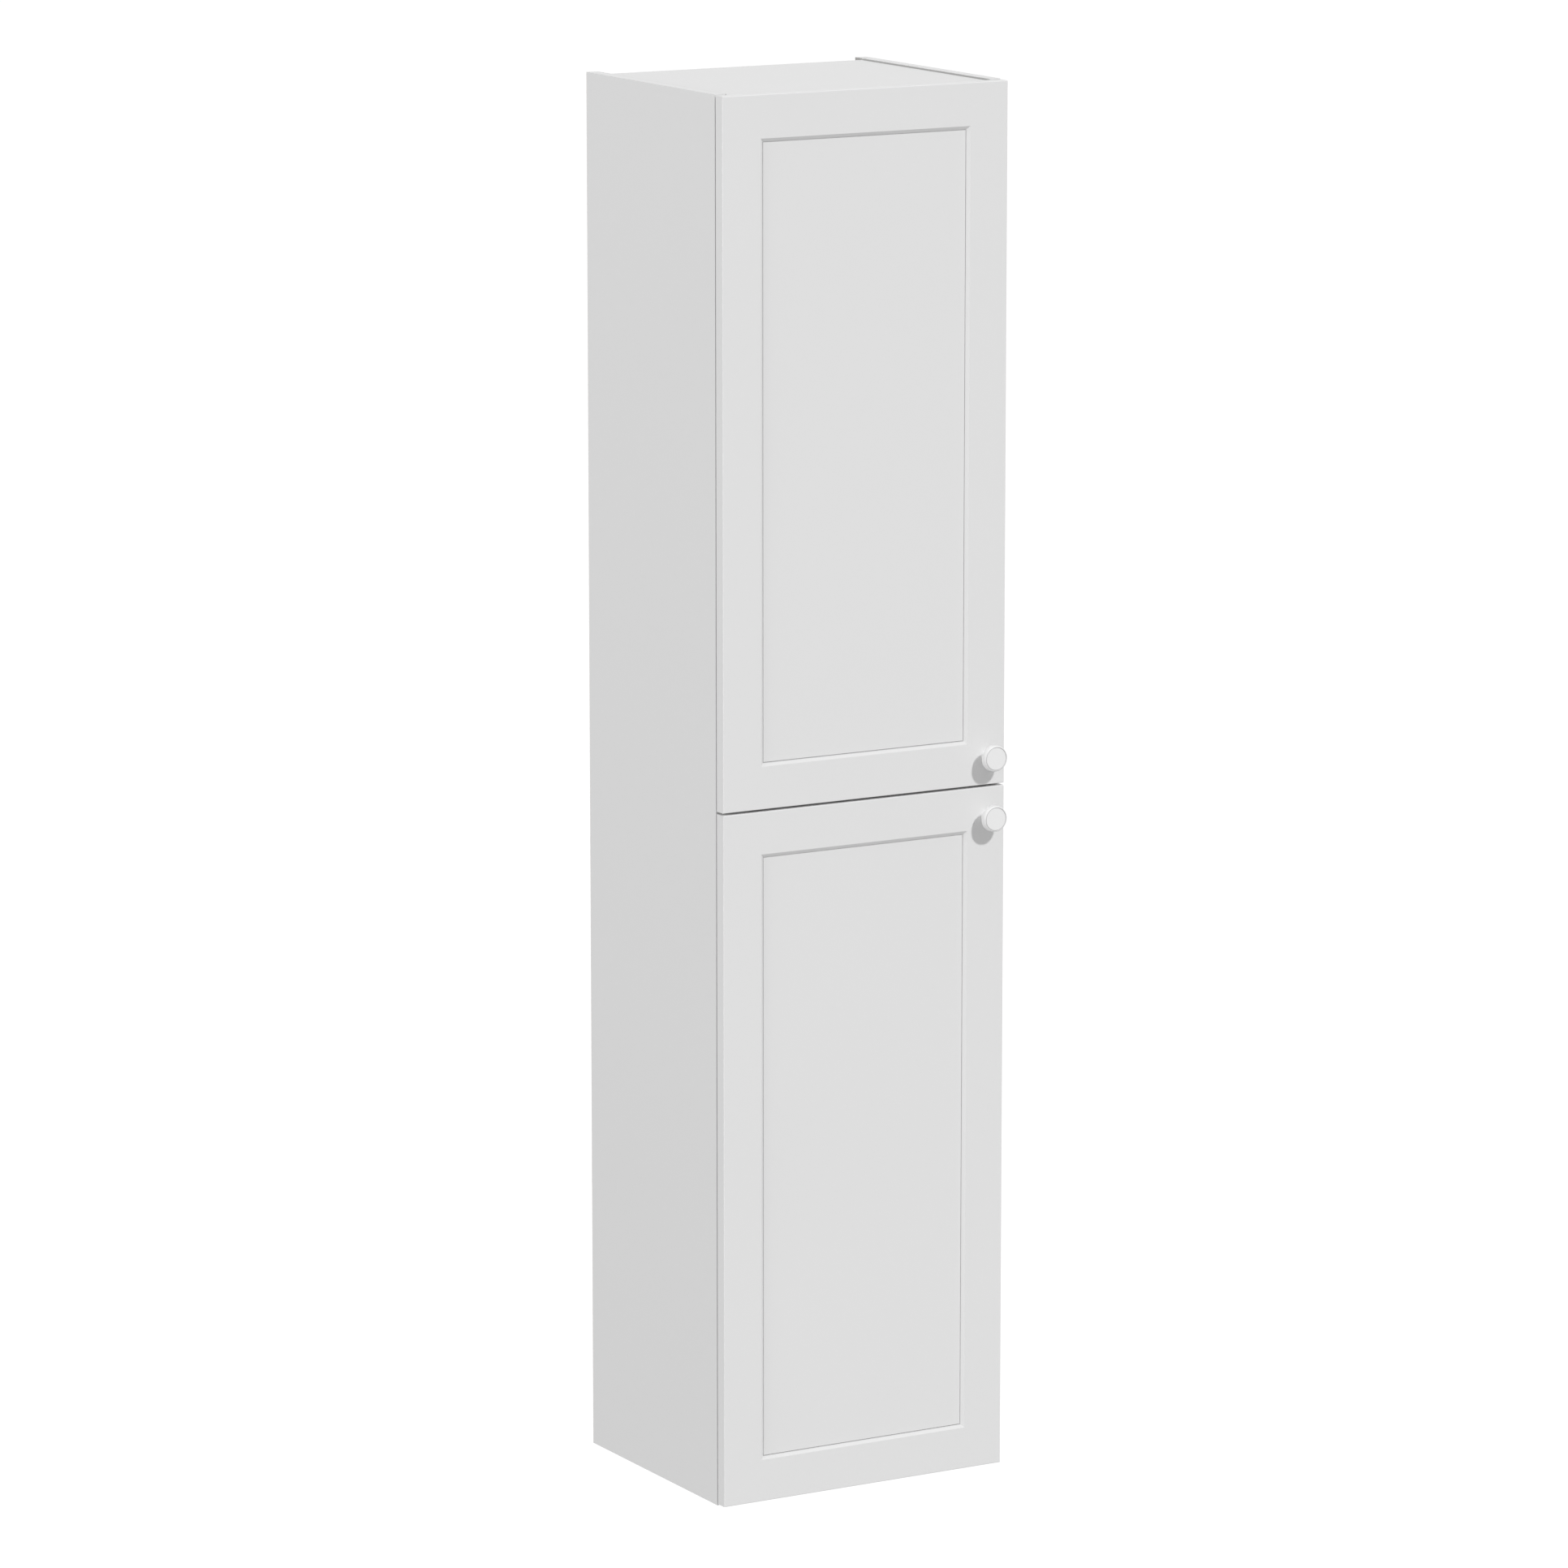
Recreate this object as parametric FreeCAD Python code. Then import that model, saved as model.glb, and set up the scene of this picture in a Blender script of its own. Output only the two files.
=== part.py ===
"""Tall wall-hung bathroom cabinet with two framed doors on concealed cup hinges.

Millimetres. X runs to the right as seen from the front, the doors face -Y, and Z is up. The origin is the centre of
the four screws of the wall plates, on the wall.
"""
import FreeCAD, Part

import os

Vector = FreeCAD.Vector

# ---------------------------------------------------------------- driving dimensions

# Cabinet as a whole
cabinet_height = 1750.0          # side panels, top to bottom
cabinet_width = 400.0
cabinet_depth = 340.0            # wall to the front of the doors
plate_drop = 70.0                # top of the cabinet down to the centre of the wall plates

# Boards
board = 16.0                     # sides, top, bottom and fixed shelf
shelf_board = 16.0
back_board = 3.0
rail_board = 16.0
top_set_down = 2.0               # the sides stand proud of the top panel
bottom_set_up = 2.0
wall_cavity = 16.5               # room behind the back panel
groove_depth = 7.0
groove_play = 0.2

# Tongues at the ends of the fixed boards, glued in grooves of the sides
tongue_length = 6.0
tongue_thickness = 8.0
tongue_stop = 12.0               # the tongues end this far behind the front edge
tongue_play = 0.1

# Rail across the bottom of the rear cavity
rear_rail_height = 80.0
rail_hole_spacing = 240.0
rail_hole_radius = 3.0

# Doors
door_board = 16.0
door_gap_to_carcass = 2.0
door_gap_at_middle = 3.0
door_top_reveal = 1.0
door_bottom_reveal = 2.0
door_edge_radius = 1.0
frame_width = 53.0               # flat frame round the recess
bevel_width = 4.2
recess_depth = 3.4
quirk_width = 0.8                # narrow groove at the foot of the bevel
quirk_depth = 1.0

# Knobs
knob_from_edge = 26.5            # to the free edge of the door
knob_from_meeting_edge = 36.5
knob_radius = 16.5
knob_head = 8.2                  # thickness of the head
knob_front_bevel = 3.0
knob_face_radius = 14.9
knob_rear_bevel = 1.0
knob_projection = 25.0
knob_neck_radius = 6.7
knob_screw_radius = 2.0
knob_screw_grip = 9.0            # length of thread inside the knob
knob_hole_play = 0.25
screw_head_radius = 4.0
screw_head = 2.2

# Bumper pads
pad_radius = 4.0
pad_height = 1.7
pad_from_end = 30.0

# Loose shelves and the pins that they rest on
shelves_per_compartment = 2
shelf_set_back = 22.0
shelf_side_play = 1.0
shelf_rear_play = 2.0
line_hole_radius = 2.5
line_hole_depth = 12.0
line_front = 37.0                # front edge of the side to the front column of holes
line_rear = 50.0                 # back panel to the rear column
pin_shank = 10.0
pin_plate = 1.5
pin_plate_width = 8.0
pin_plate_height = 7.0
pin_spoon_length = 9.0
pin_spoon = 2.0

# Wall plates and the hangers in the rear cavity
plate_from_side = 33.0           # inner face of the side to the middle of the wall plate
plate_width = 40.0
plate_sheet = 2.0
plate_hole_pitch = 32.0
plate_hole_radius = 3.0
plate_margin = 10.0              # holes to the ends of the flat part
lip_stand_off = 5.0              # wall to the rear of the lip
lip_height = 14.0
hanger_sheet = 2.0
hanger_width = 46.0
hanger_low = -24.0
hanger_high = 48.0
hanger_flange = 13.0
hook_thickness = 4.0
hook_tongue = 2.2
hook_play = 0.5                  # between the hook and the lip, front and rear
hook_drop = 11.0
hook_cap = 5.0
hook_low = 8.0
slider_width = 14.0
slider_depth = 6.0
adjuster_radius = 2.5
adjuster_length = 7.5
adjuster_access_radius = 6.0
cover_width = 24.0
cover_height = 46.0
cover_thickness = 1.5
cover_corner = 4.0

# Mounting plates and arms of the hinges
hinge_from_door_end = 100.0
plate_line = 37.0                # front edge of the side to the screws of the mounting plate
plate_screw_pitch = 32.0
plate_wing_radius = 8.0
plate_wing = 2.0
plate_hole = 3.05                # radius of its two screw holes
spine_front = 22.0
spine_rear = 60.0
spine_height = 8.0
spine_width = 15.0
arm_sheet = 1.5
arm_play = 0.4                   # between the spine and each cheek of the arm
arm_front = 30.0
arm_rear = 64.0                  # front edge of the carcass to the rear end of the arm
arm_cheek = 5.0
neck_radius = 3.2

# Hinge cup in the door
cup_from_door_edge = 22.0        # to the centre of the cup
cup_radius = 17.4
cup_play = 0.1
cup_depth = 11.8
cup_floor_play = 0.2
cup_sheet = 1.2
cup_rim = 1.8                    # flange past the cup
wing_screw_pitch = 45.0
wing_screw_offset = 9.5          # centre of the cup to the line of its screws
wing_radius = 5.5
wing_hole = 1.8                  # radius of the two screw holes
rim_notch_play = 1.2             # round the links, in the rim of the cup
rim_notch_depth = 4.5
lug_radius = 2.6

# Hinge linkage: pivots at rest as (inwards from the side, forwards from the carcass)
outer_arm_pivot = (25.13, -19.49)
outer_knee = (3.5, 3.6)
outer_cup_pivot = (-4.9, 3.8)
inner_arm_pivot = (27.0, -1.4)
inner_cup_pivot = (-0.15, 5.19)
nose_radius = 2.6
outer_link_radius = 2.2
inner_link_radius = 2.0
open_eye_radius = 4.3
pin_radius = 1.25
pin_play = 0.05
open_pivot_play = 1.85           # the inner link is free on its cup pin
outer_link_sheet = 1.4
inner_link_width = 8.0
link_side_play = 0.3
web_start = 0.2                  # ends of the web of the outer link, as shares of its straight part
web_end = 0.6

# Play between a fastener and its hole, on the radius
fastener_play = 0.05

# ---------------------------------------------------------------- places that follow from the sizes

half_width = cabinet_width / 2
side_inner = half_width - board
top_z = plate_drop
bottom_z = top_z - cabinet_height
door_front_y = -cabinet_depth
door_back_y = door_front_y + door_board
carcass_front_y = door_back_y + door_gap_to_carcass
back_rear_y = -wall_cavity
back_front_y = back_rear_y - back_board
door_low_z = bottom_z + door_bottom_reveal
door_high_z = top_z - door_top_reveal
door_height = (door_high_z - door_low_z - door_gap_at_middle) / 2
middle_z = (door_high_z + door_low_z) / 2

board_undersides = {
    "top_panel": top_z - top_set_down - board,
    "fixed_shelf": middle_z - board / 2,
    "bottom_panel": bottom_z + bottom_set_up,
}
door_undersides = {"upper": door_high_z - door_height, "lower": door_low_z}
knob_heights = {
    "upper": door_undersides["upper"] + knob_from_meeting_edge,
    "lower": door_undersides["lower"] + door_height - knob_from_meeting_edge,
}
knob_x = half_width - knob_from_edge

lip_low = plate_hole_pitch / 2 + plate_margin + lip_stand_off
lip_top = lip_low + lip_height
plate_x = side_inner - plate_from_side
slider_x = plate_x + (hook_thickness + slider_width) / 2
hook_top = lip_top + hook_cap
adjuster_z = (hook_low + hook_top) / 2

arm_inner_half = spine_width / 2 + arm_play
arm_outer_half = arm_inner_half + arm_sheet
outer_link_half = arm_inner_half - link_side_play
inner_link_half = inner_link_width / 2
lug_inner_half = inner_link_half + link_side_play
lug_outer_half = outer_link_half - outer_link_sheet - link_side_play
cup_x = cup_from_door_edge - board
cup_back_y = -door_gap_to_carcass


def shelf_undersides():
    """Undersides of the shelves, which divide each compartment into equal spaces."""
    floors = (board_undersides["bottom_panel"] + board, board_undersides["fixed_shelf"] + board)
    ceilings = (board_undersides["fixed_shelf"], board_undersides["top_panel"])
    heights = []
    for floor, ceiling in zip(floors, ceilings):
        space = (ceiling - floor - shelves_per_compartment * shelf_board) / (shelves_per_compartment + 1)
        for index in range(shelves_per_compartment):
            heights.append(floor + space + index * (space + shelf_board))
    return heights


def hinge_heights(door_name):
    """Heights of the two hinges of a door."""
    low = door_undersides[door_name]
    return [low + hinge_from_door_end, low + door_height - hinge_from_door_end]


# ---------------------------------------------------------------- shapes used more than once

def block(x, y, z):
    """Box between two limits on each axis, in either order."""
    low = Vector(min(x), min(y), min(z))
    size = Vector(max(x), max(y), max(z)) - low
    return Part.makeBox(size.x, size.y, size.z, low)


def rod(radius, start, end):
    """Round bar from one point to another."""
    axis = end - start
    return Part.makeCylinder(radius, axis.Length, start, axis)


def prism(points, rise):
    """Flat outline through the points, given a thickness."""
    return Part.Face(Part.makePolygon(points + points[:1])).extrude(rise)


def strap(start, end, radius, rise):
    """Flat bar with round ends about two points; rise is its thickness."""
    along = (end - start).normalize() * radius
    across = rise.cross(along).normalize() * radius
    outline = [
        Part.LineSegment(start - across, end - across),
        Part.Arc(end - across, end + along, end + across),
        Part.LineSegment(end + across, start + across),
        Part.Arc(start + across, start - along, start - across),
    ]
    return Part.Face(Part.Wire([edge.toShape() for edge in outline])).extrude(rise)


def join(shapes):
    """One solid from shapes that overlap or touch."""
    return shapes[0].fuse(shapes[1:]).removeSplitter()


def screw(radius, length, seat, direction):
    """Screw with a flat round head on its seat; the shank runs along the direction."""
    shank = rod(radius, seat, seat + direction * length)
    head = rod(screw_head_radius, seat - direction * screw_head, seat)
    return join([shank, head])


# ---------------------------------------------------------------- boards of the carcass

def line_columns():
    """Distances from the wall of the two columns of shelf pin holes."""
    return (carcass_front_y + line_front, back_front_y - line_rear)


def tongue(side, underside, play):
    """Tongue at one end of a fixed board, or with play the groove that takes it."""
    low = underside + (board - tongue_thickness) / 2
    ends = (side * side_inner, side * (side_inner + tongue_length + play))
    return block(ends, (carcass_front_y + tongue_stop - play, back_front_y), (low, low + tongue_thickness))


def side_panel(side):
    """Side panel with its grooves and its blind holes for shelf pins; side is -1 left, 1 right."""
    inner = side * side_inner
    panel = block((inner, side * half_width), (carcass_front_y, 0), (bottom_z, top_z))
    groove_ends = (inner, inner + side * groove_depth)
    tools = [block(groove_ends, (back_front_y, back_rear_y + groove_play), (bottom_z, top_z))]
    for underside in board_undersides.values():
        tools.append(tongue(side, underside, tongue_play))
    for underside in shelf_undersides():
        for y in line_columns():
            mouth = Vector(inner, y, underside - line_hole_radius)
            tools.append(rod(line_hole_radius, mouth, mouth + Vector(side * line_hole_depth, 0, 0)))
    return panel.cut(tools)


def fixed_board(underside):
    """Top panel, bottom panel or fixed shelf, with a tongue at each end."""
    panel = block((-side_inner, side_inner), (carcass_front_y, back_front_y), (underside, underside + board))
    return join([panel, tongue(-1, underside, 0), tongue(1, underside, 0)])


def back_panel():
    """Back panel in the grooves, with holes to reach the hangers and the wall screws of the rail."""
    half = side_inner + groove_depth - groove_play
    top = board_undersides["top_panel"] + board
    panel = block((-half, half), (back_front_y, back_rear_y), (board_undersides["bottom_panel"], top))
    through = Vector(0, back_board, 0)
    tools = []
    for side in (-1, 1):
        start = Vector(side * slider_x, back_front_y, adjuster_z)
        tools.append(rod(adjuster_access_radius, start, start + through))
    for x, z in rail_hole_places():
        start = Vector(x, back_front_y, z)
        tools.append(rod(rail_hole_radius, start, start + through))
    return panel.cut(tools)


def rail_hole_places():
    """Places of the wall screws of the rear rail."""
    z = board_undersides["bottom_panel"] + rear_rail_height / 2
    return [(side * rail_hole_spacing / 2, z) for side in (-1, 1)]


def rear_rail():
    """Rail behind the back panel that holds the foot of the cabinet to the wall."""
    low = board_undersides["bottom_panel"]
    rail = block((-side_inner, side_inner), (back_rear_y, back_rear_y + rail_board), (low, low + rear_rail_height))
    tools = []
    for x, z in rail_hole_places():
        start = Vector(x, back_rear_y, z)
        tools.append(rod(rail_hole_radius, start, start + Vector(0, rail_board, 0)))
    return rail.cut(tools)


def loose_shelf(underside):
    """Loose shelf that rests on four pins."""
    half = side_inner - shelf_side_play
    depth = (carcass_front_y + shelf_set_back, back_front_y - shelf_rear_play)
    return block((-half, half), depth, (underside, underside + shelf_board))


def shelf_pin(side, y, underside):
    """Pin with a round shank in the side, a plate against it and a spoon under the shelf."""
    wall = side * side_inner
    tip = wall - side * (pin_plate + pin_spoon_length)
    wide = (y - pin_plate_width / 2, y + pin_plate_width / 2)
    centre = Vector(wall, y, underside - line_hole_radius)
    shank = rod(line_hole_radius - fastener_play, centre, centre + Vector(side * pin_shank, 0, 0))
    plate = block((wall, wall - side * pin_plate), wide, (underside - pin_plate_height, underside))
    spoon = block((wall, tip), wide, (underside - pin_spoon, underside))
    return join([plate, spoon, shank])


def shelf_pins():
    """Four pins under each loose shelf."""
    pins = []
    for underside in shelf_undersides():
        for side in (-1, 1):
            for y in line_columns():
                pins.append(shelf_pin(side, y, underside))
    return Part.makeCompound(pins)


# ---------------------------------------------------------------- wall plates and hangers

def wall_plate(side):
    """Plate on the wall with a stepped lip for the hook."""
    low = -(plate_hole_pitch / 2 + plate_margin)
    bend = -low
    left = side * plate_x - plate_width / 2
    front = lip_stand_off + plate_sheet
    profile = [(0, low), (plate_sheet, low), (plate_sheet, bend), (front, lip_low), (front, lip_top),
               (lip_stand_off, lip_top), (lip_stand_off, lip_low), (0, bend)]
    plate = prism([Vector(left, -out, z) for out, z in profile], Vector(plate_width, 0, 0))
    tools = []
    for z in (-plate_hole_pitch / 2, plate_hole_pitch / 2):
        wall = Vector(side * plate_x, 0, z)
        tools.append(rod(plate_hole_radius, wall, wall - Vector(0, plate_sheet, 0)))
    return plate.cut(tools)


def adjuster_bore(side):
    """Bore for the adjusting screw through a hanger and its slider."""
    start = Vector(side * slider_x, back_rear_y, adjuster_z)
    return rod(adjuster_radius + fastener_play, start, start + Vector(0, adjuster_length, 0))


def hanger(side):
    """Angle bracket with its web on the back panel and its flange on the side."""
    wall = side * side_inner
    height = (hanger_low, hanger_high)
    web = block((wall, wall - side * hanger_width), (back_rear_y, back_rear_y + hanger_sheet), height)
    flange = block((wall, wall - side * hanger_sheet), (back_rear_y, back_rear_y + hanger_flange), height)
    return join([web, flange]).cut(adjuster_bore(side))


def hanger_hook(side):
    """Hook over the lip of the wall plate, on the slider that the adjusting screw moves."""
    front = back_rear_y + hanger_sheet
    before_lip = -(lip_stand_off + plate_sheet + hook_play)
    behind_lip = -(lip_stand_off - hook_play)
    tongue_rear = behind_lip + hook_tongue
    tongue_low = lip_top - hook_drop
    profile = [(front, hook_low), (before_lip, hook_low), (before_lip, lip_top), (behind_lip, lip_top),
               (behind_lip, tongue_low), (tongue_rear, tongue_low), (tongue_rear, hook_top), (front, hook_top)]
    left = side * plate_x - hook_thickness / 2
    hook = prism([Vector(left, y, z) for y, z in profile], Vector(hook_thickness, 0, 0))
    inner = side * (plate_x + hook_thickness / 2)
    slider = block((inner, inner + side * slider_width), (front, front + slider_depth), (hook_low, hook_top))
    return join([hook, slider]).cut(adjuster_bore(side))


def adjusting_screws():
    """Screws that move the hooks, turned from inside the cabinet."""
    screws = []
    for side in (-1, 1):
        seat = Vector(side * slider_x, back_rear_y, adjuster_z)
        screws.append(screw(adjuster_radius, adjuster_length, seat, Vector(0, 1, 0)))
    return Part.makeCompound(screws)


def hanger_cover(side):
    """Plate with round corners over the hole to the adjusting screw."""
    centre = side * slider_x
    wide = (centre - cover_width / 2, centre + cover_width / 2)
    high = (adjuster_z - cover_height / 2, adjuster_z + cover_height / 2)
    cover = block(wide, (back_front_y - cover_thickness, back_front_y), high)
    corners = [edge for edge in cover.Edges if edge.BoundBox.YLength > cover_thickness / 2]
    return cover.makeFillet(cover_corner, corners)


# ---------------------------------------------------------------- doors

def door_rectangle(inset, y, low):
    """Rectangle inside the outline of a door, at a distance from the wall."""
    left = -half_width + inset
    right = half_width - inset
    bottom = low + inset
    top = low + door_height - inset
    corners = [Vector(left, y, bottom), Vector(right, y, bottom), Vector(right, y, top), Vector(left, y, top)]
    return Part.makePolygon(corners + corners[:1])


def recess_tools(low):
    """Recess of a door: bevelled sides with a narrow groove at their foot."""
    foot = frame_width + bevel_width
    floor = door_front_y + recess_depth
    groove_floor = floor + quirk_depth
    recess = Part.makeLoft([door_rectangle(frame_width, door_front_y, low), door_rectangle(foot, floor, low)], True)
    outside = Part.makeLoft([door_rectangle(foot, floor, low), door_rectangle(foot, groove_floor, low)], True)
    field = foot + quirk_width
    inside = Part.makeLoft([door_rectangle(field, floor, low), door_rectangle(field, groove_floor, low)], True)
    return [recess, outside.cut(inside)]


def door_panel(door_name):
    """Door board with rounded front edges, the recess, the bores for the hinge cups and the knob hole."""
    low = door_undersides[door_name]
    slab = block((-half_width, half_width), (door_front_y, door_back_y), (low, low + door_height))
    front_edges = [edge for edge in slab.Edges if edge.BoundBox.YMax < door_front_y + door_edge_radius]
    slab = slab.makeFillet(door_edge_radius, front_edges)
    tools = recess_tools(low)
    mouth = Vector(cup_x, cup_back_y, 0)
    for height in hinge_heights(door_name):
        bore = rod(cup_radius + cup_play, mouth, mouth - Vector(0, cup_depth + cup_floor_play, 0))
        tools.append(at_hinge(bore, height))
    back = Vector(knob_x, door_back_y, knob_heights[door_name])
    tools.append(rod(knob_screw_radius + knob_hole_play, back, back - Vector(0, door_board, 0)))
    return slab.cut(tools)


def knob(door_name):
    """Turned knob: a neck and a flat head with bevelled edges, bored for its screw."""
    base = Vector(knob_x, door_front_y, knob_heights[door_name])
    out = Vector(0, -1, 0)
    shoulder = knob_projection - knob_head
    outline = [(0, 0), (knob_neck_radius, 0), (knob_neck_radius, shoulder), (knob_radius - knob_rear_bevel, shoulder),
               (knob_radius, shoulder + knob_rear_bevel), (knob_radius, knob_projection - knob_front_bevel),
               (knob_face_radius, knob_projection), (0, knob_projection)]
    points = [base + Vector(radius, 0, 0) + out * height for radius, height in outline]
    turned = Part.Face(Part.makePolygon(points + points[:1])).revolve(base, out, 360)
    bore = rod(knob_screw_radius + fastener_play, base, base + out * knob_screw_grip)
    return turned.cut(bore)


def knob_screw(door_name):
    """Machine screw from the back of the door into the knob."""
    seat = Vector(knob_x, door_back_y, knob_heights[door_name])
    return screw(knob_screw_radius, door_board + knob_screw_grip, seat, Vector(0, -1, 0))


def bumper_pads(door_name):
    """Two soft pads on the back of a door, facing the edge of the right side panel."""
    low = door_undersides[door_name]
    pads = []
    for z in (low + pad_from_end, low + door_height - pad_from_end):
        start = Vector(half_width - board / 2, door_back_y, z)
        pads.append(rod(pad_radius, start, start + Vector(0, pad_height, 0)))
    return Part.makeCompound(pads)


# ---------------------------------------------------------------- hinges
# A hinge piece is drawn at the corner of the left side: x inwards from its inner face, y back from its front edge,
# z from the middle of the hinge. The links and the cup are drawn as they lie with the door closed.

def at_hinge(shape, height):
    """The piece moved from the corner of the side to its place in the cabinet."""
    return shape.translated(Vector(-side_inner, carcass_front_y, height))


def pivot(place, z=0.0):
    """Point of a pivot given as inwards from the side and forwards from the carcass."""
    return Vector(place[0], -place[1], z)


def cross_rod(radius, place, half):
    """Bar through a pivot, from -half to half."""
    return rod(radius, pivot(place, -half), pivot(place, half))


def mounting_plate():
    """Mounting plate: two round wings on the side and a spine that carries the arm."""
    half_pitch = plate_screw_pitch / 2
    rise = Vector(plate_wing, 0, 0)
    centres = [Vector(0, plate_line, z) for z in (-half_pitch, half_pitch)]
    wings = strap(centres[0], centres[1], plate_wing_radius, rise)
    spine = block((0, spine_height), (spine_front, spine_rear), (-spine_width / 2, spine_width / 2))
    return join([wings, spine]).cut([rod(plate_hole, centre, centre + rise) for centre in centres])


def arm():
    """Hinge arm: a channel over the spine, whose cheeks run on to the two pivots and carry their pins."""
    skin_x = spine_height + arm_sheet
    low_x = skin_x - arm_cheek
    whole = Vector(0, 0, 2 * arm_outer_half)
    neck_start = Vector((low_x + skin_x) / 2, arm_front + neck_radius, -arm_outer_half)
    bend = pivot(outer_arm_pivot, -arm_outer_half)
    nose = pivot(inner_arm_pivot, -arm_outer_half)
    beam = block((low_x, skin_x), (arm_front, arm_rear), (-arm_outer_half, arm_outer_half))
    solid = join([beam, strap(neck_start, bend, neck_radius, whole), strap(bend, nose, nose_radius, whole)])
    channel = block((0, spine_height), (arm_front, arm_rear), (-arm_inner_half, arm_inner_half))
    reach = inner_arm_pivot[0] + neck_radius
    front_end = nose.y - neck_radius
    slot = block((0, reach), (front_end, arm_front + 2 * neck_radius), (-arm_inner_half, arm_inner_half))
    cheeks = solid.cut([channel, slot])
    pins = [cross_rod(pin_radius, place, arm_inner_half) for place in (outer_arm_pivot, inner_arm_pivot)]
    return join([cheeks] + pins)


def cup():
    """Pressed cup with its flange and wings, notched for the links, and the lugs that carry their pins."""
    centre = Vector(cup_x, cup_back_y, 0)
    lift = Vector(0, cup_sheet, 0)
    floor_y = cup_back_y - cup_depth
    screw_x = cup_x + wing_screw_offset
    screw_places = [Vector(screw_x, cup_back_y, z) for z in (-wing_screw_pitch / 2, wing_screw_pitch / 2)]
    bowl = rod(cup_radius, centre, centre - Vector(0, cup_depth, 0))
    flange = rod(cup_radius + cup_rim, centre, centre + lift)
    wings = strap(screw_places[0], screw_places[1], wing_radius, lift)
    cavity = rod(cup_radius - cup_sheet, centre + lift, centre - Vector(0, cup_depth - cup_sheet, 0))
    outer_half = outer_link_half + rim_notch_play
    inner_half = inner_link_half + rim_notch_play
    rim = cup_radius + cup_rim
    notch_y = (cup_back_y + cup_sheet, cup_back_y + cup_sheet - rim_notch_depth)
    outer_notch = block((cup_x - rim, cup_x), notch_y, (-outer_half, outer_half))
    inner_notch = block((cup_x, cup_x + rim), notch_y, (-inner_half, inner_half))
    holes = [rod(wing_hole, place, place + lift) for place in screw_places]
    shell = join([bowl, flange, wings]).cut([cavity, outer_notch, inner_notch] + holes)
    pieces = [cross_rod(pin_radius, inner_cup_pivot, lug_inner_half)]
    rise = Vector(0, 0, lug_outer_half - lug_inner_half)
    for low, pin_start, pin_end in ((-lug_outer_half, -lug_outer_half, -outer_link_half),
                                    (lug_inner_half, lug_outer_half, outer_link_half)):
        outer_place = pivot(outer_cup_pivot, low)
        inner_place = pivot(inner_cup_pivot, low)
        foot = [outer_place - Vector(lug_radius, 0, 0), Vector(outer_place.x - lug_radius, floor_y, low),
                Vector(inner_place.x + lug_radius, floor_y, low), inner_place + Vector(lug_radius, 0, 0)]
        pieces += [prism(foot, rise), strap(outer_place, inner_place, lug_radius, rise)]
        pieces.append(rod(pin_radius, pivot(outer_cup_pivot, pin_start), pivot(outer_cup_pivot, pin_end)))
    return join([shell] + pieces)


def outer_link():
    """Outer link: two cranked cheeks about the outer pivots, joined by a web on their rear side."""
    rise = Vector(0, 0, outer_link_sheet)
    pieces = []
    for z in (-outer_link_half, outer_link_half - outer_link_sheet):
        knee = pivot(outer_knee, z)
        pieces.append(strap(pivot(outer_arm_pivot, z), knee, outer_link_radius, rise))
        pieces.append(strap(knee, pivot(outer_cup_pivot, z), outer_link_radius, rise))
    start = pivot(outer_arm_pivot, -outer_link_half)
    whole = pivot(outer_knee, -outer_link_half) - start
    across = whole.cross(Vector(0, 0, 1)).normalize()
    outside = across * outer_link_radius
    inside = across * (outer_link_radius - outer_link_sheet)
    near = start + whole * web_start
    far = start + whole * web_end
    web = [near + inside, far + inside, far + outside, near + outside]
    pieces.append(prism(web, Vector(0, 0, 2 * outer_link_half)))
    holes = [cross_rod(pin_radius + pin_play, place, outer_link_half) for place in (outer_arm_pivot, outer_cup_pivot)]
    return join(pieces).cut(holes)


def inner_link():
    """Inner link: a bar between the inner pivots, with a wide eye on its cup pin."""
    rise = Vector(0, 0, inner_link_width)
    start = pivot(inner_arm_pivot, -inner_link_half)
    end = pivot(inner_cup_pivot, -inner_link_half)
    solid = join([strap(start, end, inner_link_radius, rise), rod(open_eye_radius, end, end + rise)])
    return solid.cut([cross_rod(pin_radius + pin_play, inner_arm_pivot, inner_link_half),
                      cross_rod(pin_radius + open_pivot_play, inner_cup_pivot, inner_link_half)])


# ---------------------------------------------------------------- the whole cabinet

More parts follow.
